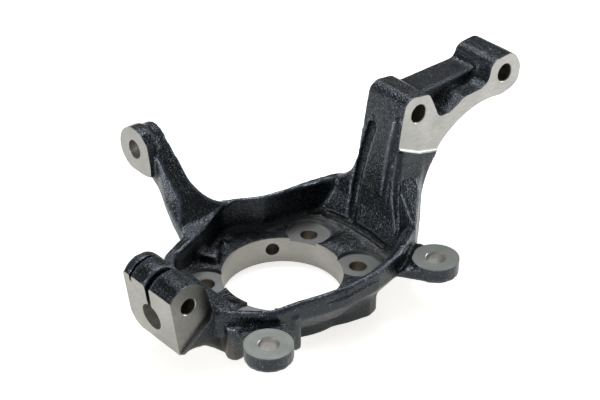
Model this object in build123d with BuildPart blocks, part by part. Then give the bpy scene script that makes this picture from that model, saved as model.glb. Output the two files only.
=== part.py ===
from build123d import *

import math
import os

# Steering knuckle for a strut suspension: one iron casting with machined seats.
#
# Frame: the origin is on the hub-bore axis, at the outboard end of the bore.
# +Z runs along that axis, inboard. +X runs up the car, towards the strut.
# +Y runs towards the steering arm. The casting rests on its outboard face, z = 0.

# ---- hub seat -------------------------------------------------------------
bore_dia = 90.0  # hub bearing spigot
bore_depth = 21.6  # length of the bore wall, and the level of the basin floor
hub_bolt_x = 100.0  # bolt rectangle, up the car
hub_bolt_y = 55.6  # bolt rectangle, fore and aft
hub_bolt_dia = 13.0
hub_spot_dia = 34.0  # spot face under each hub bolt head
hub_spot_depth = 2.9  # below the basin floor
hub_boss_dia = 35.0  # cast boss round each hub bolt
hub_boss_foot = 10.0  # the bosses stop short of the outboard face
hub_ring_dia = 106.0  # outboard face round the bore

# ---- basin round the hub seat -----------------------------------------------
rim_level = 44.6  # crest of the rim on the hub axis
rim_rise_x = 0.035  # the crest climbs towards the strut arm
rim_rise_y = 0.045  # and towards the steering arm
rim_foot = 27.0  # the outer wall stands straight from here up
skirt_foot = 11.0  # the undercut skirt starts here
skirt_scale = 0.84  # how far the skirt draws in at its foot
rim_round = 1.8  # rounding of the crest edges
corner_round = 12.0  # corners of the basin in plan

# ---- strut arm ----------------------------------------------------------------
strut_face_y = 19.5  # half the width over the two milled faces
strut_bolt_dia = 14.6
strut_bolt_low = (115.4, 120.5)  # lower strut bolt, x and z
strut_bolt_span = 91.2
strut_bolt_rise = 2.3  # the upper bolt stands this much higher
strut_web_front = 4.2  # the web's front wall stands this far past the middle
strut_web_top = 127.1
strut_cast_extra = 2.6  # iron left on the column below the milled face
head_corner = 5.0  # rounding of the strut head in profile
boss_corner = 11.0  # rounding of the upper boss
tyre_arc_centre = (189.0, 35.5)  # the arm clears the tyre along this arc
tyre_arc_radius = 70.5

column_groove = 2.4  # radius of the groove down the column
groove_top_y = 9.0
groove_run = (-8, 8.5, -49)  # down, outboard and aft

# ---- ball-joint clamp -----------------------------------------------------------
clamp_y = 1.8  # middle of the clamp, fore and aft
clamp_width = 54.8
clamp_tilt = 7.6  # the stud leans inboard at its top
stud_dia = 20.4
stud_depth = 36.0
stud_centre = (-117.3, 36.0)  # x and z where the stud axis meets the lower face
pinch_dia = 12.4
pinch_centre = (-105.6, 54.0)
pinch_round = 17.2  # the clamp's top is rounded about the pinch bolt
clamp_round = 14.0  # lower corner on the nut side
slit_width = 4.0
slit_groove = 2.6  # width of the cast groove near the nut end
groove_offset = 20.0  # from the middle of the clamp
groove_depth = 2.0

# ---- steering arm ------------------------------------------------------------------
tie_face_x = -40.0
tie_centre = (124.0, 86.0)  # y and z of the tie-rod hole
tie_boss_dia = 36.0
tie_arm_width = 20.5
arm_round = 4.0  # rounding of the arm's long edges
tie_hole_dia = 14.6
tie_pad_height = 4.5  # the machined pad stands off the arm

# ---- brake caliper ears -----------------------------------------------------------
ear_reach = 79.0  # both ears stand this far out along x and along y
ear_top = 40.0
ear_thick = 12.0
ear_dia = 35.0
neck_valley = 10.0  # radius of the valley between an ear's neck and the rim
ear_bolt_dia = 14.4

# ---- wheel-speed sensor hole ------------------------------------------------------
sensor_dia = 10.6
sensor_angle = 59.6
sensor_level = 11.5
sensor_boss_dia = 19.0
sensor_boss_reach = 68.0  # from the hub axis

# ---- raised patches on the basin floor, and the hole mouths --------------------------
floor_step = [(50, 8), (51, -7.5), (61, -8.5), (84, -8.5), (84, 8)]
step_height = 1.4
floor_pad = [(-31, 38), (-21, 46), (-26, 58), (-40, 54)]
pad_height = 6.5
hole_chamfer = 0.8

bolt_points = [(x * hub_bolt_x / 2, y * hub_bolt_y / 2) for x in (-1, 1) for y in (-1, 1)]
ear_points = [(-ear_reach, -ear_reach), (ear_reach, -ear_reach)]
upper_bolt = (strut_bolt_low[0] + strut_bolt_span, strut_bolt_low[1] + strut_bolt_rise)


def side_view(y):
    """A sketch plane seen from the machined strut face: x across, z up, facing -Y."""
    return Plane(origin=(0, y, 0), x_dir=(1, 0, 0), z_dir=(0, -1, 0))


def end_view(x):
    """A sketch plane seen from above the car: y across, z up, facing +X."""
    return Plane(origin=(x, 0, 0), x_dir=(0, 1, 0), z_dir=(1, 0, 0))


# ---- basin: floor, rim and undercut skirt ------------------------------------
rim_outline = [
    (88, -49), (60, -63.5), (32, -69), (4, -69.5), (-18, -65), (-34, -60.5),
    (-56, -57), (-72, -41), (-92, -24), (-94, 22), (-72, 48), (-44, 59),
    (-20, 73), (2, 76), (14, 67.5), (32, 58), (54, 54), (74, 51),
    (94, 45), (106, 34), (114, 16), (114, -16), (104, -36),
]
pocket_outline = [
    (100, -36), (80, -42), (56, -56.5), (30, -62.5), (4, -63.2), (-16, -58.5),
    (-32, -54), (-52, -50.5), (-66, -38), (-84, -20), (-86, 16), (-66, 42),
    (-42, 51), (-20, 60), (-3, 67), (9, 66), (27, 54), (58, 48), (78, 43), (100, 32),
]


def rounded_outline(points, scale=1.0):
    """A closed outline with its corners rounded."""
    with BuildSketch() as outline:
        with BuildLine():
            Polyline(*[(x * scale, y * scale) for x, y in points], close=True)
        make_face()
        fillet(outline.vertices(), corner_round * scale)
    return outline.sketch


with BuildPart() as skirt:
    with BuildSketch(Plane.XY.offset(skirt_foot)):
        add(rounded_outline(rim_outline, skirt_scale))
    with BuildSketch(Plane.XY.offset(rim_foot)):
        add(rounded_outline(rim_outline))
    loft(ruled=True)

crest_plane = Plane(origin=(0, 0, rim_level), x_dir=(1, 0, rim_rise_x),
                    z_dir=(-rim_rise_x, -rim_rise_y, 1))

with BuildPart() as basin:
    with BuildSketch(Plane.XY.offset(rim_foot)):
        add(rounded_outline(rim_outline))
    extrude(amount=rim_level)
    split(bisect_by=crest_plane, keep=Keep.BOTTOM)
    add(skirt.part)
    with BuildSketch(Plane.XY.offset(bore_depth)):
        add(rounded_outline(pocket_outline))
    extrude(amount=rim_level, mode=Mode.SUBTRACT)
    fillet(basin.faces().sort_by(Axis.Z)[-1].edges(), rim_round)

# ---- solid corner between the clamp and the hub seat ---------------------------
web_low = ((-58, 12), (-46, -14))  # the slope starts here, at the basin floor
web_run = 37.0  # and reaches the crest this far on

with BuildPart() as web:
    slope_start = Vector(*web_low[0], bore_depth - 1)
    along = (Vector(*web_low[1], 0) - Vector(*web_low[0], 0)).normalized()
    uphill = along.cross(Vector(0, 0, 1))
    with BuildSketch(Plane(origin=slope_start + along * 32, x_dir=uphill, z_dir=-along)):
        with BuildLine():
            Polyline((0, 0), (0, 1), (web_run, 20), (web_run + 12, 20), (web_run + 12, 0), close=True)
        make_face()
    extrude(amount=62)
    with BuildSketch(Plane.XY):
        add(rounded_outline(rim_outline))
    extrude(amount=80, mode=Mode.INTERSECT)

# ---- column between the basin and the strut bosses --------------------------------
column_outline = [
    (70, -56), (87, -50), (96, -42.5), (104, -35.5), (112, -27), (120, -22.5), (142, -22),
    (142, 22), (124, 23), (114, 27), (104, 35.5), (92, 46.5), (70, 56),
]
column_spread = [
    (-51, 12), (-50, 45), (-36, 59.5), (-24.5, 70), (-22, 84), (-22, 112),
    (22, 112), (22, 76), (25.5, 63), (31, 56.5), (40, 50), (50, 47), (50, 12),
]

foot_top, foot_toe = (81.5, 33), (70, bore_depth)  # a hollow leads from the column to the basin floor

with BuildPart() as column:
    with BuildSketch(side_view(60)):
        with BuildLine():
            tyre_side = CenterArc(tyre_arc_centre, tyre_arc_radius, 144, 41)
            Polyline(tyre_side @ 0, (134, 112), (98, 112), (95.4, 94.6), (90.5, 62), (85.5, 40), foot_top)
            ThreePointArc(foot_top, (76.4, bore_depth + 4.4), foot_toe)
            Polyline(foot_toe, (70, 12), (114.5, 12), tyre_side @ 1)
        make_face()
    extrude(amount=120)
    with BuildSketch(end_view(60)):
        with BuildLine():
            Polyline(*column_spread, close=True)
        make_face()
    extrude(amount=100, mode=Mode.INTERSECT)
    with BuildSketch(Plane.XY):
        with BuildLine():
            Polyline(*column_outline, close=True)
        make_face()
    extrude(amount=130, mode=Mode.INTERSECT)

# ---- strut bosses and the web between them --------------------------------------------
lx, lz = strut_bolt_low
ux, uz = upper_bolt
tyre_arc = CenterArc(tyre_arc_centre, tyre_arc_radius, 78, 66)
lower_boss = [(lx - 20, lz - 25.9), (lx - 16.5, lz - 3.4), (lx - 13.5, lz + 11.6), (lx - 6.1, lz + 15.6)]
upper_boss = [(ux + 9.8, uz + 15.6), (ux + 18, uz + 1.8), (ux + 15.8, uz - 14.2), (ux + 1.8, uz - 17.6)]
ledge_top = [
    (lx + 10.7, lz + 12.6), (lx + 16.3, lz + 1.6), (lx + 21.7, lz - 10.4), (lx + 33.7, lz - 10.8),
    (lx + 47.7, lz - 3.4), (lx + 66.7, lz - 2.4),
    (ux - 17.8, uz - 1.2), (ux - 14.2, uz + 11.4), (ux - 9.2, uz + 14.2),
]
web_line = [(lx + 9.7, lz + 13.2), (lx + 16.7, strut_web_top), (ux - 16.7, strut_web_top),
            (ux - 14.2, uz + 11.8), (ux - 9.2, uz + 14.8)]
cast_y = strut_face_y + strut_cast_extra


def head_outline(middle):
    """The strut head seen from the side, with the given line between the bosses."""
    with BuildSketch() as outline:
        with BuildLine():
            Polyline(tyre_arc @ 1, *lower_boss, *middle, *upper_boss, tyre_arc @ 0)
            add(tyre_arc)
        make_face()
        fillet(outline.vertices().filter_by(lambda v: v.X > ux + 4.8), boss_corner)
        corners = outline.vertices().filter_by(lambda v: v.Y > lz - 11.4)
        fillet(corners.filter_by(lambda v: v.X < ux + 2), head_corner)
    return outline.sketch


with BuildPart() as head:
    with BuildSketch(side_view(cast_y)):
        add(head_outline(web_line))
    extrude(amount=cast_y + strut_web_front)
    with BuildSketch(side_view(-strut_web_front)):
        add(head_outline(ledge_top))
    extrude(amount=cast_y - strut_web_front)

# ---- steering arm ------------------------------------------------------------------------
ty, tz = tie_centre
tie_front = tie_face_x + tie_pad_height
tie_back = tie_face_x + tie_arm_width
edge_round = min(arm_round, tie_arm_width / 5)  # as much as the arm's wall takes
arm_top = [(ty - 7, tz + 13), (ty - 30, tz - 6), (76, 61.5), (64, 47.5)]
arm_root = [(52, 45.5), (52, 22), (66, 36)]
arm_under = [(ty - 30, tz - 34), (ty - 8, tz - 18), (ty + 8, tz - 12)]
arm_front = [(tie_front, ty - 20), (-41, 84), (-45, 66), (-46, 52)]
arm_back = [(0, 52), (0, 72), (-12, 78.5), (tie_back, ty - 30)]
tie_pad = [(ty + 4, tz + 18.2), (ty - 9, tz + 16.5), (ty - 17, tz + 9.5), (ty - 20, tz - 6),
           (ty - 20.5, tz - 16.5), (ty - 10, tz - 18.2), (ty + 4, tz - 17.4)]

with BuildPart() as tie_arm:
    with BuildSketch(end_view(-60)):
        with BuildLine():
            Spline(*arm_top)
            Polyline(arm_top[-1], *arm_root)
            Spline(arm_root[-1], *arm_under)
            Line(arm_under[-1], arm_top[0])
        make_face()
        with Locations((ty, tz)):
            Circle(tie_boss_dia / 2 - 2)
    extrude(amount=80)
    with BuildSketch(Plane.XY):
        with BuildLine():
            Spline(*arm_front)
            Polyline(arm_front[-1], *arm_back[:2])
            Spline(*arm_back[1:])
            Polyline(arm_back[-1], (tie_back, ty + 30), (tie_front, ty + 30), arm_front[0])
        make_face()
    extrude(amount=120, mode=Mode.INTERSECT)
    long_edges = tie_arm.edges().filter_by(GeomType.BSPLINE).filter_by(lambda e: e.length > 30)
    fillet(long_edges.filter_by(lambda e: e.center().X < tie_front), edge_round)
    long_edges = tie_arm.edges().filter_by(GeomType.BSPLINE).filter_by(lambda e: e.length > 30)
    fillet(long_edges.filter_by(lambda e: tie_back + 2 < e.center().X < -10), edge_round)
    with BuildSketch(Plane.XY.offset(bore_depth)):
        add(rounded_outline(pocket_outline))
    extrude(amount=60, mode=Mode.SUBTRACT)
    # the machined pad stands proud of the arm
    with BuildSketch(end_view(tie_face_x)):
        with Locations((ty, tz)):
            Circle(tie_boss_dia / 2)
        with BuildLine():
            Polyline(*tie_pad, close=True)
        make_face()
    extrude(amount=tie_pad_height + 6)

# ---- ball-joint clamp ------------------------------------------------------------------------
px, pz = pinch_centre
clamp_near = clamp_y - clamp_width / 2  # milled face on the bolt-head side
clamp_profile = [
    (px - pinch_round, pz), (-122, 40), (-122, 13), (px - 2, 19.5), (-95, 17), (-85, 9), (-79, 3.5),
    (-68, 8), (-68, 41), (-85, 42.5), (px + pinch_round, pz),
]
clamp_face = Plane(origin=(stud_centre[0], clamp_y, stud_centre[1]), x_dir=(0, -1, 0),
                   z_dir=(-math.cos(math.radians(clamp_tilt)), 0, -math.sin(math.radians(clamp_tilt))))

with BuildPart() as clamp:
    with BuildSketch(side_view(clamp_y + clamp_width / 2)):
        with BuildLine():
            Polyline(*clamp_profile, close=True)
        make_face()
        with Locations(pinch_centre):
            Circle(pinch_round)
    extrude(amount=clamp_width + 4)
    # the lower corner on the nut side is rounded
    corner_y, corner_z = clamp_y + clamp_width / 2, 16.0
    with BuildSketch(end_view(-130)):
        with Locations((corner_y - clamp_round / 2 + 5, corner_z + clamp_round / 2 - 10)):
            Rectangle(clamp_round + 10, clamp_round + 20)
        with Locations((corner_y - clamp_round, corner_z + clamp_round)):
            Circle(clamp_round, mode=Mode.SUBTRACT)
    extrude(amount=33, mode=Mode.SUBTRACT)
    split(bisect_by=clamp_face, keep=Keep.BOTTOM)

# ---- caliper ears ------------------------------------------------------------------------------
with BuildPart() as ears:
    with BuildSketch(Plane.XY.offset(ear_top - ear_thick)):
        with Locations(*ear_points):
            Circle(ear_dia / 2)
    extrude(amount=ear_thick)
    with BuildSketch(Plane.XY.offset(ear_top - ear_thick)):
        for neck in ([(-84, -62), (-80, -42), (-44, -56), (-70, -90)],
                     [(89, -62), (86, -46), (50, -64), (66, -90)]):
            with BuildLine():
                Polyline(*neck, close=True)
            make_face()
    extrude(amount=ear_thick - 2.5)
    # a valley between each neck and the rim
    for foot, along in (((-86, -41, 42), (44, -20, -3)), ((47.5, -66.7, 42), (42, 24, 1))):
        with BuildSketch(Plane(origin=foot, z_dir=along)):
            Circle(neck_valley)
        extrude(amount=50, mode=Mode.SUBTRACT)

with BuildPart() as knuckle:
    # hub ring and the bosses for the hub bolts
    with BuildSketch():
        Circle(hub_ring_dia / 2)
    extrude(amount=bore_depth)
    with BuildSketch(Plane.XY.offset(hub_boss_foot)):
        with Locations(*bolt_points):
            Circle(hub_boss_dia / 2)
    extrude(amount=bore_depth - hub_boss_foot)
    for casting in (basin, web, column, head, tie_arm, clamp, ears):
        add(casting.part)
    # cast boss round the wheel-speed sensor hole
    reach = Vector(math.cos(math.radians(sensor_angle)), math.sin(math.radians(sensor_angle)), 0)
    with BuildSketch(Plane(origin=reach * 50 + Vector(0, 0, sensor_level), z_dir=reach)):
        Circle(sensor_boss_dia / 2)
    extrude(amount=sensor_boss_reach - 50)
    # outboard lugs that the casting rests on
    with BuildSketch():
        with BuildLine():
            Polyline((0, -52), (14, -57), (32, -61), (41, -58), (50, -48), (52, -30), (40, -24), close=True)
        make_face()
    extrude(amount=bore_depth - 2)
    with BuildSketch(Plane.XY.offset(3.5)):
        with Locations((-75, -37)):
            Circle(7)
        with Locations((-37.5, -56.5)):
            Circle(5.4)
    extrude(amount=28)

    # raised floor at the column's foot, and a cast pad beside the steering arm
    with BuildSketch(Plane.XY.offset(bore_depth - 1)):
        with BuildLine():
            Polyline(*floor_step, close=True)
        make_face()
    extrude(amount=1 + step_height)
    with BuildSketch(Plane.XY.offset(bore_depth - 1)):
        with BuildLine():
            Polyline(*floor_pad, close=True)
        make_face()
    extrude(amount=1 + pad_height, taper=4)

    # bore and hub bolt seats
    with BuildSketch():
        Circle(bore_dia / 2)
    extrude(amount=80, mode=Mode.SUBTRACT)
    with BuildSketch(Plane.XY.offset(bore_depth - hub_spot_depth)):
        with Locations(*bolt_points):
            Circle(hub_spot_dia / 2)
    extrude(amount=30, mode=Mode.SUBTRACT)
    with BuildSketch():
        with Locations(*bolt_points):
            Circle(hub_bolt_dia / 2)
    extrude(amount=40, mode=Mode.SUBTRACT)
    # caliper bolts
    with BuildSketch():
        with Locations(*ear_points):
            Circle(ear_bolt_dia / 2)
    extrude(amount=60, mode=Mode.SUBTRACT)
    # wheel-speed sensor hole, square to the bore wall
    with BuildSketch(Plane(origin=reach * 30 + Vector(0, 0, sensor_level), z_dir=reach)):
        Circle(sensor_dia / 2)
    extrude(amount=70, mode=Mode.SUBTRACT)

    # milled strut faces, square over the bosses and down to the slanting lower line
    for side in (-1, 1):
        with BuildSketch(side_view(side * 30)):
            with BuildLine():
                Polyline((90, 97.5), (116, 85), (140, 80), (240, 80), (240, 160), (90, 160), close=True)
            make_face()
        extrude(amount=side * (30 - strut_face_y), mode=Mode.SUBTRACT)
    with BuildSketch(side_view(60)):
        with Locations(strut_bolt_low, upper_bolt):
            Circle(strut_bolt_dia / 2)
    extrude(amount=120, mode=Mode.SUBTRACT)

    # shallow cast groove down the hub side of the column
    with BuildSketch(Plane(origin=(98, groove_top_y, 113), x_dir=(0, 1, 0), z_dir=groove_run)):
        Circle(column_groove)
    extrude(amount=52, mode=Mode.SUBTRACT)

    # clamp: milled ends, stud bore, pinch bolt hole and the slit that lets it close
    with BuildSketch(side_view(clamp_near)):
        with BuildLine():
            Polyline((-130, 0), (-113, 17.7), (-96.4, 32.6), (-90, 37), (-87, 43.6), (-89.5, 53.2),
                     (-91.6, 62.8), (-86, 80), (-130, 80), close=True)
        make_face()
    extrude(amount=20, mode=Mode.SUBTRACT)
    with BuildSketch(clamp_face.offset(20)):
        Circle(stud_dia / 2)
    extrude(amount=-20 - stud_depth, mode=Mode.SUBTRACT)
    with BuildSketch(side_view(60)):
        with Locations(pinch_centre):
            Circle(pinch_dia / 2)
    extrude(amount=120, mode=Mode.SUBTRACT)
    with BuildSketch(clamp_face.offset(20)):
        with Locations((0, 30)):
            Rectangle(slit_width, 60)
    extrude(amount=-58, mode=Mode.SUBTRACT)

    # cast groove over the clamp's rounded top
    with BuildSketch(side_view(clamp_y + groove_offset)):
        with Locations(pinch_centre):
            Circle(pinch_round + 5)
            Circle(pinch_round - groove_depth, mode=Mode.SUBTRACT)
        with Locations((px + 20, pz), (px, pz - 20)):
            Rectangle(40, 40, mode=Mode.SUBTRACT)
    extrude(amount=slit_groove, mode=Mode.SUBTRACT)

    # tie-rod face and hole
    with BuildSketch(end_view(-60)):
        with Locations(tie_centre):
            Circle(tie_hole_dia / 2)
    extrude(amount=60, mode=Mode.SUBTRACT)

    # chamfered mouths
    floor_z = bore_depth - hub_spot_depth
    tilt = math.radians(clamp_tilt)
    mouths = [((0, 0, bore_depth), (0, 0, -1), bore_dia)]
    mouths += [((x, y, floor_z), (0, 0, -1), hub_bolt_dia) for x, y in bolt_points]
    mouths += [((x, y, ear_top), (0, 0, -1), ear_bolt_dia) for x, y in ear_points]
    mouths += [((x, -strut_face_y, z), (0, 1, 0), strut_bolt_dia) for x, z in (strut_bolt_low, upper_bolt)]
    mouths += [((tie_face_x, ty, tz), (1, 0, 0), tie_hole_dia)]
    mouths += [((px, clamp_near, pz), (0, 1, 0), pinch_dia)]
    for mouth, inward, diameter in mouths:
        with BuildSketch(Plane(origin=mouth, z_dir=inward)):
            Circle(diameter / 2 + hole_chamfer)
        extrude(amount=hole_chamfer, taper=45, mode=Mode.SUBTRACT)

knuckle.part.label = "knuckle"
os.makedirs("parts", exist_ok=True)
export_step(knuckle.part, "parts/knuckle.step")
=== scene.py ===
import math

import bmesh
import bpy
from mathutils import Matrix, Vector


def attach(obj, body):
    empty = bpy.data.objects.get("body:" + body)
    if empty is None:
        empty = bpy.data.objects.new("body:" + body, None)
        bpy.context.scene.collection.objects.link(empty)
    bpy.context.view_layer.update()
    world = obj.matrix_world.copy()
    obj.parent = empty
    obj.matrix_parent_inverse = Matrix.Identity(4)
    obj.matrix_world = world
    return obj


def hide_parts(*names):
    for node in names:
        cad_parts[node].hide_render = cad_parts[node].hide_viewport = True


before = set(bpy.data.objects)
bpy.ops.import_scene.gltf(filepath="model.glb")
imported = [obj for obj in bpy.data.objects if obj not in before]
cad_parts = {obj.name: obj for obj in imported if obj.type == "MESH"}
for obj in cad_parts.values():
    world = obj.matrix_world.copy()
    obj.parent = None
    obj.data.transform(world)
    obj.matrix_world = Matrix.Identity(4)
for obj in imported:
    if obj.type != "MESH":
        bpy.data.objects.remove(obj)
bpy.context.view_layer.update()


# ---- the raw casting ---------------------------------------------------------
# One piece of ductile iron, poured in sand. It leaves the mould with soft edges,
# rounded inner corners and extra iron on every seat that is cut afterwards; the
# holes and the hub bore are still solid.

MM = 0.001
X, Y, Z = Vector((1, 0, 0)), Vector((0, 1, 0)), Vector((0, 0, 1))
SKIN_STEP = 1.3 * MM  # grain of the remeshed skin
STOCK = 2.5 * MM  # iron left on each seat for the machine shop
WELD = 0.002 * MM  # corners of the CAD mesh closer than this become one
FACING = 0.999  # cosine above which a face looks the way its seat does
SLACK = 0.05 * MM  # how far a face may lie off the level of its seat

BORE = 45.0 * MM
FLOOR = 21.6 * MM
SPOT_LEVEL = 18.7 * MM
SPOT = 17.0 * MM
HUB_BOLT = 6.5 * MM
hub_bolts = [Vector((x * 50.0, y * 27.8, 0)) * MM for x in (-1, 1) for y in (-1, 1)]

EAR_TOP = 40.0 * MM
EAR_UNDER = 28.2 * MM
EAR = 17.5 * MM
EAR_BOLT = 7.2 * MM
ears = [Vector((-79.0, -79.0, 0)) * MM, Vector((79.0, -79.0, 0)) * MM]

STRUT_FACE = 19.5 * MM
STRUT_BOLT = 7.3 * MM
strut_bolts = [Vector((115.4, 0, 120.5)) * MM, Vector((206.6, 0, 122.8)) * MM]

CLAMP_NEAR = -25.6 * MM
CLAMP_FAR = 29.2 * MM
CLAMP_TILT = math.radians(7.6)
STUD = 10.2 * MM
STUD_DEPTH = 36 * MM
stud_mouth = Vector((-117.3, 1.8, 36.0)) * MM
stud_run = Vector((math.cos(CLAMP_TILT), 0, math.sin(CLAMP_TILT)))
clamp_up = stud_run.cross(Y)
PINCH = 6.2 * MM
pinch = Vector((-105.6, 0, 54.0)) * MM

TIE_FACE = -40.0 * MM
TIE_ARM = 20.5 * MM
TIE_HOLE = 7.3 * MM
tie_hole = Vector((-40.0, 124.0, 86.0)) * MM

SENSOR = 5.3 * MM
SENSOR_LEVEL = 11.5 * MM
sensor_run = Vector((math.cos(math.radians(59.6)), math.sin(math.radians(59.6)), 0))


def add_rod(work, foot, run, length, radius, end_radius=None, segments=96):
    """A closed round bar in the bmesh, from foot along run; it may taper to end_radius."""
    turn = run.to_track_quat("Z", "Y").to_matrix().to_4x4()
    place = Matrix.Translation(foot + run * (length / 2)) @ turn
    end_radius = radius if end_radius is None else end_radius
    bmesh.ops.create_cone(work, cap_ends=True, segments=segments, radius1=radius,
                          radius2=end_radius, depth=length, matrix=place)


def new_piece(name, work):
    mesh = bpy.data.meshes.new(name)
    work.to_mesh(mesh)
    work.free()
    piece = bpy.data.objects.new(name, mesh)
    bpy.context.collection.objects.link(piece)
    return piece


def finish_modifiers(piece):
    """Fixes what the modifiers make into the mesh."""
    graph = bpy.context.evaluated_depsgraph_get()
    mesh = bpy.data.meshes.new_from_object(piece.evaluated_get(graph), depsgraph=graph)
    piece.modifiers.clear()
    piece.data = mesh


def grow_stock(work, outward, level):
    """Moves the flat seat that faces outward, at that level along it, out by the stock."""
    seat = [f for f in work.faces if f.normal.dot(outward) > FACING
            and abs(f.calc_center_median().dot(outward) - level) < SLACK]
    grown = bmesh.ops.extrude_face_region(work, geom=seat)["geom"]
    verts = [v for v in grown if isinstance(v, bmesh.types.BMVert)]
    bmesh.ops.translate(work, verts=verts, vec=outward * STOCK)
    bmesh.ops.delete(work, geom=seat, context="FACES")


work = bmesh.new()
work.from_mesh(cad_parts["knuckle"].data)
bmesh.ops.remove_doubles(work, verts=work.verts, dist=WELD)
bmesh.ops.recalc_face_normals(work, faces=work.faces)
grow_stock(work, -Z, 0)
grow_stock(work, Z, EAR_TOP)
grow_stock(work, -Y, STRUT_FACE)
grow_stock(work, Y, STRUT_FACE)
grow_stock(work, -Y, -CLAMP_NEAR)
grow_stock(work, -stud_run, -stud_mouth.dot(stud_run))
grow_stock(work, -X, -TIE_FACE)

# the holes are still solid iron: each plug is a little wider than the hole to come
OVER_BORE = 0.8 * MM
OVER_HUB_BOLT = 1 * MM
OVER_SPOT = 0.4 * MM
OVER_BOLT = 1.2 * MM
add_rod(work, Z * -STOCK, Z, FLOOR + STOCK, BORE + OVER_BORE, segments=192)
for bolt in hub_bolts:
    add_rod(work, bolt - Z * STOCK, Z, FLOOR + STOCK, HUB_BOLT + OVER_HUB_BOLT)
    add_rod(work, bolt + Z * 15 * MM, Z, FLOOR - 15 * MM, SPOT + OVER_SPOT)
for bolt in ears:
    add_rod(work, bolt + Z * EAR_UNDER, Z, EAR_TOP - EAR_UNDER + STOCK, EAR_BOLT + OVER_BOLT)
for bolt in strut_bolts:
    add_rod(work, bolt - Y * (STRUT_FACE + STOCK), Y, 2 * (STRUT_FACE + STOCK),
            STRUT_BOLT + OVER_BOLT)
add_rod(work, stud_mouth - stud_run * STOCK, stud_run, STUD_DEPTH + 2 * MM, STUD + OVER_BORE)
add_rod(work, pinch + Y * (CLAMP_NEAR - STOCK), Y, CLAMP_FAR - CLAMP_NEAR + STOCK,
        PINCH + OVER_BOLT)
add_rod(work, tie_hole - X * STOCK, X, TIE_ARM + STOCK, TIE_HOLE + OVER_BOLT)
add_rod(work, sensor_run * 40 * MM + Z * SENSOR_LEVEL, sensor_run, 27.8 * MM,
        SENSOR + OVER_HUB_BOLT)

# the mould leaves raised ridges: down the column's hub side, round the crest behind
# and in front, and along the edge of the basin floor; each has a radius and a line in mm
ridges = (
    (2.0, ((96.2, -14.2, 119), (93.0, -12.2, 95), (90.2, -10.7, 69), (87.9, -10.2, 56))),
    (1.6, ((-62.2, 43.6, 43.8), (-53.4, 46.8, 44.4), (-39.7, 51.8, 44.2), (-26.2, 57.2, 44),
           (-14.3, 62.3, 46.7), (-2.6, 66.8, 48), (10.5, 67.4, 47.6), (24.7, 57.6, 47.7),
           (42.1, 52.2, 48), (59.1, 48.6, 48.1), (75.4, 44.1, 47.6))),
    (1.6, ((-60, -49, 40.3), (-52.5, -54.1, 40.5), (-32.8, -57.8, 40.9), (-16.7, -62.8, 41.2),
           (1.4, -66.6, 41.7), (19.9, -67.3, 42.1), (40.1, -66.3, 42.1), (53, -63.3, 43.3),
           (69, -57.1, 44.3))),
    (1.6, ((-9.2, 55, 21.8), (-8.6, 62.4, 22), (8, 64.6, 22.4), (17, 58, 22.1), (30.2, 50, 21.8),
           (41, 48.6, 21.9), (51, 48.2, 22.4), (62.1, 44.8, 22.2), (71.5, 36.5, 22.8))),
)
for radius, points in ridges:
    line = [Vector(p) * MM for p in points]
    for start, end in zip(line, line[1:]):
        add_rod(work, start, (end - start).normalized(), (end - start).length, radius * MM,
                segments=24)
casting = new_piece("knuckle_casting", work)


def recast():
    """Gives the whole casting one even skin."""
    skin = casting.modifiers.new("skin", "REMESH")
    skin.mode = "VOXEL"
    skin.voxel_size = SKIN_STEP
    finish_modifiers(casting)


def cut(work, name, material=None):
    """Takes the closed tool in the bmesh away from the casting; the cut is of the material."""
    bmesh.ops.recalc_face_normals(work, faces=work.faces)
    tool = new_piece(name, work)
    if material:
        tool.data.materials.append(material)
    bite = casting.modifiers.new(name, "BOOLEAN")
    bite.operation = "DIFFERENCE"
    bite.solver = "MANIFOLD"
    bite.material_mode = "TRANSFER"
    bite.object = tool
    finish_modifiers(casting)
    bpy.data.objects.remove(tool)


def carve(points, radius, name):
    """Runs a round groove through the points, given in mm, before the skin is softened."""
    line = [Vector(p) * MM for p in points]
    for start, end in zip(line, line[1:]):
        work = bmesh.new()
        run = (end - start).normalized()
        add_rod(work, start - run * (radius / 2), run, (end - start).length + radius, radius,
                segments=20)
        cut(work, name)


recast()

# the column's long groove goes on down to the floor, another divides it from the
# flange, and a gutter parts the basin floor from the column's foot
carve(((98.2, 11, 104), (95.2, 15, 85), (92.6, 17.5, 68), (89.2, 18, 50), (84.8, 16, 37),
       (77, 11, 28)), 4.2 * MM, "long_groove")
carve(((96.4, -22, 94), (92.6, -22.6, 72), (90.2, -24.6, 59), (86.6, -29.4, 47),
       (82.6, -34, 38)), 3.4 * MM, "flange_groove")
carve(((74, 37, 24.2), (76, 24.3, 25), (77, 8.6, 26), (77, -8.2, 26), (75.6, -27.6, 25)),
      2.8 * MM, "floor_gutter")

# the steering arm's near flank leans in towards its top, most at mid length
pad_end = Vector((-37.1, 98, 83.5)) * MM
middle = Vector((-34, 78, 63.7)) * MM
root_end = Vector((-45.3, 62, 45.5)) * MM
lean = Vector((-9.2, 10, -9.7)) * MM
FLANK_TOOL = (60 * MM, 30 * MM)
for start, end in ((pad_end, middle), (middle, root_end)):
    run = (end - start).normalized()
    outward = lean.cross(run).normalized()
    size = Vector(((end - start).length, *FLANK_TOOL))
    place = Matrix.Translation((start + end) / 2 + outward * size.z / 2)
    turn = Matrix((run, outward.cross(run), outward)).transposed().to_4x4()
    work = bmesh.new()
    bmesh.ops.create_cube(work, size=1, matrix=place @ turn @ Matrix.Diagonal((*size, 1)))
    cut(work, "arm_flank")
recast()

# a groove runs along the outside of the front wall, under its crest
carve(((-70, -50, 34), (-52, -61.5, 34), (-18, -68.5, 36), (4, -72, 37), (30, -71.5, 38)),
      3.6 * MM, "rim_groove")
soften = casting.modifiers.new("soften", "SMOOTH")
soften.factor = 0.5
soften.iterations = 4
finish_modifiers(casting)

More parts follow.
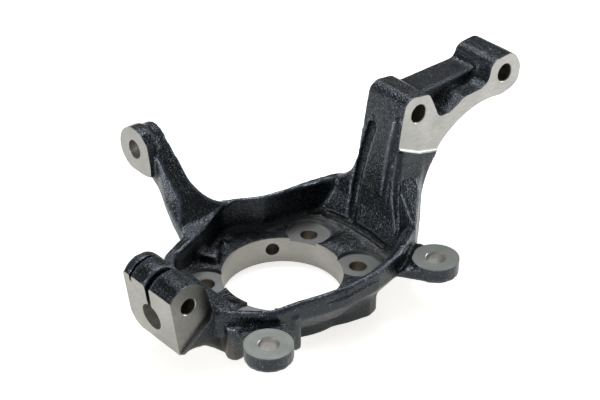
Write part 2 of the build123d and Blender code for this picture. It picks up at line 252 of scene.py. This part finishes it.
# sand never leaves a wall quite flat: slow dips of a few tenths of a millimetre
dips = bpy.data.textures.new("sand_dips", "CLOUDS")
dips.noise_scale = 11 * MM
dips.noise_depth = 2
uneven = casting.modifiers.new("uneven", "DISPLACE")
uneven.texture = dips
uneven.texture_coords = "LOCAL"
uneven.strength = 0.35 * MM
uneven.mid_level = 1.15
finish_modifiers(casting)


# ---- cast skin ---------------------------------------------------------------
# The skin the sand leaves: a fine pebbly grain under a thin satin black coat that
# is sprayed on. Light is painted into the coat: painted glints on grains that stand
# proud, a painted highlight on the edges, painted shade in the corners and the
# basin, and a painted warm bounce low on the skirt, where the coat is also duller.

class Amount:
    """What a node gives out, ready for sums with numbers and others of its kind."""

    def __init__(self, nodes, socket):
        self.nodes, self.socket = nodes, socket

    def sum(self, operation, first, second):
        return self.nodes.add("ShaderNodeMath", {"operation": operation}, first, second)

    def __add__(self, other): return self.sum("ADD", self, other)
    def __radd__(self, other): return self.sum("ADD", other, self)
    def __sub__(self, other): return self.sum("SUBTRACT", self, other)
    def __rsub__(self, other): return self.sum("SUBTRACT", other, self)
    def __mul__(self, other): return self.sum("MULTIPLY", self, other)
    def __rmul__(self, other): return self.sum("MULTIPLY", other, self)


class Nodes:
    """The nodes of one finish, or of the room."""

    def __init__(self, tree):
        self.tree = tree
        tree.nodes.clear()

    def add(self, kind, settings=None, *values, out=0, **named):
        """Adds a node, with settings and the values or links of its sockets; gives its output."""
        node = self.tree.nodes.new(kind)
        for name, setting in (settings or {}).items():
            if name == "stops":
                for i, (place, shade) in enumerate(setting):
                    stops = node.color_ramp.elements
                    stop = stops[i] if i < len(stops) else stops.new(place)
                    stop.position, stop.color = place, (*shade, 1)
            else:
                setattr(node, name, setting)
        slots = dict(enumerate(values))
        slots.update((name.replace("_", " "), value) for name, value in named.items())
        for slot, value in slots.items():
            if isinstance(value, Amount):
                self.tree.links.new(value.socket, node.inputs[slot])
            else:
                node.inputs[slot].default_value = value
        return Amount(self, node.outputs[out]) if node.outputs else node


def new_finish(name):
    """A material, its nodes and where its pattern lies on the piece."""
    material = bpy.data.materials.new(name)
    material.use_nodes = True
    nodes = Nodes(material.node_tree)
    return material, nodes, nodes.add("ShaderNodeTexCoord", out=3)


cast_skin, nodes, place = new_finish("cast_skin")
EDGE_HIGHLIGHT = (0.507, 0.55)  # how far an edge stands out where a highlight is painted on it
CORNER_SHADE = (0.42, 0.495)  # and how far a corner sinks in where shade is painted into it
grit = nodes.add("ShaderNodeTexNoise", None, Vector=place, Scale=780.0, Detail=1.0, Roughness=0.5)
drift = nodes.add("ShaderNodeTexNoise", None, Vector=place, Scale=38.0, Detail=4.0, Roughness=0.6)
bump = nodes.add("ShaderNodeBump", None, Strength=0.8, Distance=0.0007, Height=grit)
# painted glints: the grain's high points get a pale blue-grey colour, and shine below puts metal on
# them, so they sparkle as if lit; the low points stay near black
stops = [(0.48, (0.0005, 0.0007, 0.0010)), (0.6, (0.010, 0.0125, 0.017)),
         (0.74, (0.11, 0.127, 0.152))]
coat_and_painted_light = nodes.add("ShaderNodeValToRGB", {"stops": stops}, grit)
# painted highlight on the edges, and painted shade in the corners
curve = nodes.add("ShaderNodeNewGeometry", out=7)
painted_edge_highlight = nodes.add("ShaderNodeMapRange", None, curve, *EDGE_HIGHLIGHT, 0, 1)
# painted shade: the colour and metal drop to a quarter in the deepest corners
corner = nodes.add("ShaderNodeMapRange", None, curve, *CORNER_SHADE, 0.25, 1)
# painted shade in the basin: within the rim's reach and below its top the coat is darkened, by up
# to half
plan = nodes.add("ShaderNodeVectorMath", {"operation": "MULTIPLY"}, place, (1, 1, 0))
reach = nodes.add("ShaderNodeVectorMath", {"operation": "LENGTH"}, plan, out=1)
height = nodes.add("ShaderNodeSeparateXYZ", None, place, out=2)
outside = nodes.add("ShaderNodeMapRange", None, reach, 60 * MM, 76 * MM, 0, 1)
above = nodes.add("ShaderNodeMapRange", None, height, 26 * MM, 42 * MM, 0, 1)
corner = corner * (1 - (1 - outside) * (1 - above) * 0.5)
# painted warm bounce from the table low on the outside of the skirt; there the coat is also rougher
# and less metallic
painted_skirt_bounce = nodes.add("ShaderNodeMapRange", None, height, 12 * MM, 27 * MM, 1, 0) * outside
# painted highlight: a pale blue-grey is added to the colour on the edges
coat_and_painted_light = nodes.add("ShaderNodeVectorMath", {"operation": "MULTIPLY_ADD"}, painted_edge_highlight,
                 (0.13, 0.148, 0.178), coat_and_painted_light)
# painted warm bounce: a brown is added low on the outside of the skirt
coat_and_painted_light = nodes.add("ShaderNodeVectorMath", {"operation": "MULTIPLY_ADD"}, painted_skirt_bounce,
                 (0.060, 0.050, 0.031), coat_and_painted_light)
# painted shade: the colour is scaled down in the corners and in the basin
coat_and_painted_light = nodes.add("ShaderNodeVectorMath", {"operation": "SCALE"}, coat_and_painted_light, Scale=corner)
shine = nodes.add("ShaderNodeMapRange", None, grit, 0.5, 0.74, 0, 0.8)
shader = nodes.add("ShaderNodeBsdfPrincipled", None, Base_Color=coat_and_painted_light, Normal=bump,
                   Metallic=(shine + painted_edge_highlight * 0.5) * corner * (1 - painted_skirt_bounce * 0.7),
                   Roughness=drift * 0.2 + painted_skirt_bounce * 0.2 + 0.13, Specular_Tint=(0.82, 0.92, 1, 1))
nodes.add("ShaderNodeOutputMaterial", None, shader)
casting.data.materials.clear()
casting.data.materials.append(cast_skin)


# ---- milled strut faces ------------------------------------------------------
# Both sides of the strut head are milled flat in one pass each, square over the
# two bosses and down to a slanting line, where the cutter's round corner leaves
# a bright hollow in the column.

def bare_iron(name, light, dark, rough, stretch=(1, 1, 1), coarse=60.0, painted_shade_x=None):
    """Freshly cut iron, a warm grey with fine marks along the stretch; painted shade may darken it
    along x.
    """
    material, nodes, place = new_finish(name)
    run = nodes.add("ShaderNodeVectorMath", {"operation": "MULTIPLY"}, place, stretch)
    cloud = nodes.add("ShaderNodeTexNoise", None, Vector=place, Scale=coarse, Detail=5.0,
                      Roughness=0.6)
    grain = nodes.add("ShaderNodeTexNoise", None, Vector=run, Scale=900.0, Detail=2.0)
    mottle = cloud * 0.5 + grain * 0.5
    stops = [(0.3, dark), (0.7, light)]
    # painted shade: the tone may fade towards near black between two x values
    if painted_shade_x:
        along = nodes.add("ShaderNodeSeparateXYZ", None, place)
        mottle = mottle * nodes.add("ShaderNodeMapRange", {"interpolation_type": "SMOOTHSTEP"},
                                    along, *painted_shade_x, 1, 0.05)
        stops = [(0.0, (0.012, 0.012, 0.011))] + stops
    tone = nodes.add("ShaderNodeValToRGB", {"stops": stops}, mottle)
    bump = nodes.add("ShaderNodeBump", None, Strength=0.25, Distance=0.0002, Height=grain)
    shader = nodes.add("ShaderNodeBsdfPrincipled", None, Base_Color=tone, Metallic=0.7,
                       Roughness=grain * 0.16 + (rough - 0.08), Normal=bump)
    nodes.add("ShaderNodeOutputMaterial", None, shader)
    return material


def sweep_outline(work, points, run, corner=0.0):
    """A closed prism in the bmesh: the outline drawn out along run; corner rounds its first rim."""
    base = work.faces.new([work.verts.new(p) for p in points])
    drawn = bmesh.ops.extrude_face_region(work, geom=[base], use_keep_orig=True)["geom"]
    verts = [v for v in drawn if isinstance(v, bmesh.types.BMVert)]
    bmesh.ops.translate(work, verts=verts, vec=run)
    if corner:
        bmesh.ops.bevel(work, geom=list(base.edges), offset=corner, segments=6, affect="EDGES",
                        profile=0.5, material=-1)


MILL_CORNER = 3.2 * MM
mill_line = [(80, 104.7), (95.4, 97), (116, 86.9), (140, 80.5), (240, 80.5), (240, 160),
             (80, 160)]
milled = bare_iron("milled_iron", (0.54, 0.54, 0.515), (0.36, 0.36, 0.345), 0.42,
                   (0.25, 1, 1), 45.0)
for side in (-1, 1):
    work = bmesh.new()
    sweep_outline(work, [Vector((x * MM, side * STRUT_FACE, z * MM)) for x, z in mill_line],
                  Y * side * 30 * MM, MILL_CORNER)
    cut(work, "strut_mill", milled)


# ---- milled ball-joint clamp -------------------------------------------------
# The clamp is milled square to the ball stud on its lower end and flat under the
# pinch bolt's head, where the cutter runs into the arm and leaves a round wall.

OVERCUT = 0.1 * MM  # the end mill goes this far past the finished face
end_square = ((-50, -60), (50, -60), (50, 60), (-50, 60))
end_face = stud_mouth + stud_run * OVERCUT
clamp_milled = bare_iron("clamp_iron", (0.39, 0.385, 0.36), (0.24, 0.24, 0.22), 0.4,
                         (1, 0.3, 1), 38.0)
work = bmesh.new()
sweep_outline(work, [end_face + Y * (y * MM) + clamp_up * (z * MM) for y, z in end_square],
              stud_run * -20 * MM)
cut(work, "clamp_mill", clamp_milled)

side_line = [(-130, 0), (-113, 17.7), (-96.4, 32.6), (-90, 37), (-87, 43.6), (-89.5, 53.2),
             (-91.6, 62.8), (-86, 80), (-130, 80)]
# painted shade darkens this face towards the arm, from x -102 mm to -87 mm
side_milled = bare_iron("clamp_side_iron", (0.33, 0.325, 0.30), (0.18, 0.18, 0.165), 0.4,
                        (1, 1, 0.3), 38.0, (-0.102, -0.087))
work = bmesh.new()
sweep_outline(work, [Vector((x * MM, CLAMP_NEAR, z * MM)) for x, z in side_line], Y * -15 * MM)
cut(work, "clamp_side_mill", side_milled)


# ---- milled steering-arm face ------------------------------------------------
# The cast pad at the end of the steering arm, milled flat in one pass so that the
# tie-rod's ball stud seats square on it.

tie_square = ((90, 50), (160, 50), (160, 120), (90, 120))
tie_milled = bare_iron("tie_iron", (0.37, 0.37, 0.345), (0.24, 0.24, 0.225), 0.42,
                       (1, 0.4, 1), 50.0)
work = bmesh.new()
sweep_outline(work, [Vector((TIE_FACE, y * MM, z * MM)) for y, z in tie_square], X * -20 * MM)
cut(work, "tie_mill", tie_milled)


# ---- turned seats ------------------------------------------------------------
# Round seats cut by a facing tool: the outboard face of the hub ring, the tops of
# the two caliper ears and the seats under the four hub bolts. The tool leaves
# fine rings about each hole.

def turned_iron(name, centre, light, dark, rough):
    """Cut iron with rings about the holes at centre and at its mirror images."""
    material, nodes, place = new_finish(name)
    mirrored = nodes.add("ShaderNodeVectorMath", {"operation": "ABSOLUTE"}, place)
    flat = nodes.add("ShaderNodeVectorMath", {"operation": "MULTIPLY"}, mirrored, (1, 1, 0))
    radius = nodes.add("ShaderNodeVectorMath", {"operation": "DISTANCE"}, flat, centre, out=1)
    cloud = nodes.add("ShaderNodeTexNoise", None, Vector=place, Scale=70.0, Detail=4.0)
    rings = nodes.add("ShaderNodeTexNoise", {"noise_dimensions": "1D"}, W=radius, Scale=1400.0,
                      Detail=3.0)
    tone = nodes.add("ShaderNodeValToRGB", {"stops": [(0.3, dark), (0.7, light)]},
                     cloud * 0.4 + rings * 0.6)
    bump = nodes.add("ShaderNodeBump", None, Strength=0.3, Distance=0.0002, Height=rings)
    shader = nodes.add("ShaderNodeBsdfPrincipled", None, Base_Color=tone, Metallic=0.7,
                       Roughness=rings * 0.2 + (rough - 0.1), Normal=bump)
    nodes.add("ShaderNodeOutputMaterial", None, shader)
    return material


FACER = 12 * MM  # length of the facing tools
RING_FACER = 110 * MM  # radius that takes in the ring and every outboard lug
ear_seat = turned_iron("ear_seat", (0.079, 0.079, 0), (0.29, 0.31, 0.295),
                       (0.14, 0.155, 0.15), 0.4)
hub_seat = turned_iron("hub_bolt_seat", (0.050, 0.0278, 0), (0.31, 0.32, 0.31),
                       (0.20, 0.21, 0.205), 0.38)
ring_seat = turned_iron("hub_ring_face", (0, 0, 0), (0.36, 0.36, 0.34),
                        (0.26, 0.26, 0.25), 0.42)

work = bmesh.new()
add_rod(work, Z * -FACER, Z, FACER, RING_FACER)
cut(work, "ring_facer", ring_seat)
work = bmesh.new()
for bolt in ears:
    add_rod(work, bolt + Z * EAR_TOP, Z, FACER, EAR + 6 * MM)
cut(work, "ear_facer", ear_seat)
work = bmesh.new()
for bolt in hub_bolts:
    add_rod(work, bolt + Z * SPOT_LEVEL, Z, 40 * MM, SPOT)
cut(work, "spot_facer", hub_seat)


# ---- bored and drilled holes -------------------------------------------------
# The hub seat and the ball-stud hole are bored smooth, and the caliper and tie-rod
# holes reamed. The other bolt holes are drilled, and the sensor hole comes out through
# the bore wall. The bolt holes' near mouths and the bore's inner edge are lightly
# countersunk.

SINK = 0.5 * MM  # depth of a countersink
BORE_CONE = 1.2 * MM  # how far the cone that breaks the bore's edge reaches each way
STUD_LEAD = 10 * MM  # how far before the stud hole's mouth its tools start
bored = bare_iron("bored_iron", (0.46, 0.455, 0.42), (0.31, 0.305, 0.28), 0.42,
                  (0.15, 0.15, 1.6), 40.0)
drilled = bare_iron("drilled_iron", (0.24, 0.215, 0.185), (0.11, 0.10, 0.085), 0.45,
                    (0.5, 0.5, 0.5), 120.0)
bolt_drilled = bare_iron("bolt_hole_iron", (0.36, 0.32, 0.26), (0.16, 0.14, 0.11), 0.4,
                         (0.5, 0.5, 0.5), 120.0)
reamed = bare_iron("reamed_iron", (0.50, 0.495, 0.47), (0.24, 0.235, 0.22), 0.4,
                   (0.4, 0.4, 1.2), 90.0)
edge_cut = bare_iron("countersunk_iron", (0.50, 0.49, 0.46), (0.38, 0.375, 0.35), 0.4)

work = bmesh.new()
add_rod(work, Z * -5 * MM, Z, 60 * MM, BORE, segments=256)
cut(work, "boring_bar", bored)
work = bmesh.new()
add_rod(work, stud_mouth - stud_run * STUD_LEAD, stud_run, STUD_LEAD + STUD_DEPTH, STUD)
cut(work, "stud_drill", bored)

work = bmesh.new()
for bolt in hub_bolts:
    add_rod(work, bolt - Z * 5 * MM, Z, 40 * MM, HUB_BOLT)
cut(work, "hub_drills", bolt_drilled)
work = bmesh.new()
for bolt in ears:
    add_rod(work, bolt + Z * 20 * MM, Z, 40 * MM, EAR_BOLT)
add_rod(work, tie_hole - X * 10 * MM, X, 60 * MM, TIE_HOLE)
cut(work, "reamers", reamed)
work = bmesh.new()
for bolt in strut_bolts:
    add_rod(work, bolt - Y * 40 * MM, Y, 80 * MM, STRUT_BOLT)
add_rod(work, pinch - Y * 60 * MM, Y, 120 * MM, PINCH)
add_rod(work, sensor_run * 30 * MM + Z * SENSOR_LEVEL, sensor_run, 60 * MM, SENSOR)
cut(work, "cross_drills", drilled)

mouths = [(bolt + Z * SPOT_LEVEL, -Z, HUB_BOLT) for bolt in hub_bolts]
mouths += [(bolt + Z * EAR_TOP, -Z, EAR_BOLT) for bolt in ears]
mouths += [(bolt - Y * STRUT_FACE, Y, STRUT_BOLT) for bolt in strut_bolts]
mouths += [(tie_hole, X, TIE_HOLE), (pinch + Y * CLAMP_NEAR, Y, PINCH)]
work = bmesh.new()
for mouth, inward, hole in mouths:
    add_rod(work, mouth - inward * SINK, inward, 3 * SINK, hole + 2 * SINK, hole - SINK)
add_rod(work, Z * (FLOOR - BORE_CONE), Z, 2 * BORE_CONE, BORE + SINK - BORE_CONE,
        BORE + SINK + BORE_CONE, segments=256)
cut(work, "countersink", edge_cut)


# ---- clamp groove ------------------------------------------------------------
# A cast groove runs over the clamp's round top near the nut end, where two halves
# of the mould met a loose insert. It keeps the black skin.

GROOVE_START = math.radians(74)
GROOVE_SWEEP = math.radians(116)
radial = Vector((math.cos(GROOVE_START), 0, math.sin(GROOVE_START)))
section = ((15.0, 19.4), (22.0, 19.4), (22.0, 21.9), (15.0, 21.9))
work = bmesh.new()
corners = [pinch + radial * (r * MM) + Y * (y * MM) for r, y in section]
face = work.faces.new([work.verts.new(corner) for corner in corners])
bmesh.ops.spin(work, geom=[face], cent=pinch, axis=-Y, angle=GROOVE_SWEEP, steps=30)
cut(work, "top_groove", cast_skin)


# ---- clamp slit --------------------------------------------------------------
# A saw cut from the stud hole up through the clamp's round top, so that the pinch
# bolt can close it on the ball stud. Its walls are given a dark iron colour.

SLIT = 4.0 * MM
sawn = bare_iron("sawn_iron", (0.13, 0.125, 0.115), (0.06, 0.057, 0.052), 0.5)
work = bmesh.new()
saw = ((-SLIT / 2, 0), (SLIT / 2, 0), (SLIT / 2, 60 * MM), (-SLIT / 2, 60 * MM))
saw_start = stud_mouth - stud_run * STUD_LEAD
sweep_outline(work, [saw_start + Y * y + clamp_up * z for y, z in saw], stud_run * 48 * MM)
cut(work, "slit_saw", sawn)


# ---- the finished knuckle ----------------------------------------------------
# The casting with all its cuts is still one piece of iron. Soft cast forms shade
# smoothly, and the edges that the tools leave stay sharp.

casting.data.polygons.foreach_set("use_smooth", [True] * len(casting.data.polygons))
casting.data.set_sharp_from_angle(angle=math.radians(32))
print("triangles", sum(len(p.vertices) - 2 for p in casting.data.polygons))
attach(casting, "root")
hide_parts("knuckle")


# ---- table and light ---------------------------------------------------------
# A white table in a white room: a broad soft box overhead, smaller ones to the
# left and right, and the camera that looks down on the hub side.

work = bmesh.new()
bmesh.ops.create_grid(work, x_segments=1, y_segments=1, size=6.0)
table = new_piece("table", work)
white, nodes, _ = new_finish("table_white")
paper = nodes.add("ShaderNodeBsdfDiffuse", None, Color=(0.85, 0.845, 0.83, 1))
path = nodes.add("ShaderNodeLightPath")
glossy = Amount(nodes, path.socket.node.outputs["Is Glossy Ray"])
glow = nodes.add("ShaderNodeEmission", None, Color=(1, 0.98, 0.95, 1),
                 Strength=path * 0.75 + glossy * 0.65)
both = nodes.add("ShaderNodeAddShader", None, paper, glow)
nodes.add("ShaderNodeOutputMaterial", None, both)
table.data.materials.append(white)

world = bpy.data.worlds.new("studio")
bpy.context.scene.world = world
world.use_nodes = True
nodes = Nodes(world.node_tree)
path = nodes.add("ShaderNodeLightPath")
glossy = Amount(nodes, path.socket.node.outputs["Is Glossy Ray"])
room = nodes.add("ShaderNodeBackground", None, Color=(1, 1, 1, 1),
                 Strength=path * 0.85 + glossy * 0.05 + 0.15)
nodes.add("ShaderNodeOutputWorld", None, room)


def soft_box(name, spot, aim, size, power):
    lamp = bpy.data.lights.new(name, "AREA")
    lamp.shape = "RECTANGLE"
    lamp.size, lamp.size_y = size
    lamp.energy = power
    stand = bpy.data.objects.new(name, lamp)
    bpy.context.collection.objects.link(stand)
    stand.location = spot
    stand.rotation_euler = (Vector(aim) - Vector(spot)).to_track_quat("-Z", "Y").to_euler()


soft_box("overhead", (0.35, 0.45, 1.2), (0.05, 0, 0.08), (0.8, 0.5), 9.5)
soft_box("left", (-1.2, 0.15, 0.3), (0, 0, 0.05), (0.6, 0.5), 10)
soft_box("right", (1.15, -0.45, 0.42), (0.05, 0, 0.08), (0.6, 0.5), 7)

camera = bpy.data.objects.new("camera", bpy.data.cameras.new("camera"))
bpy.context.collection.objects.link(camera)
camera.data.lens = 102
camera.data.sensor_width = 36
camera.location = (-0.6608, -0.7853, 0.7379)
CAMERA_DOWN, CAMERA_TURN = math.radians(32.5), math.radians(-40.8)
camera.rotation_euler = (math.pi / 2 - CAMERA_DOWN, 0, CAMERA_TURN)
bpy.context.scene.camera = camera
bpy.context.scene.view_settings.view_transform = "Standard"
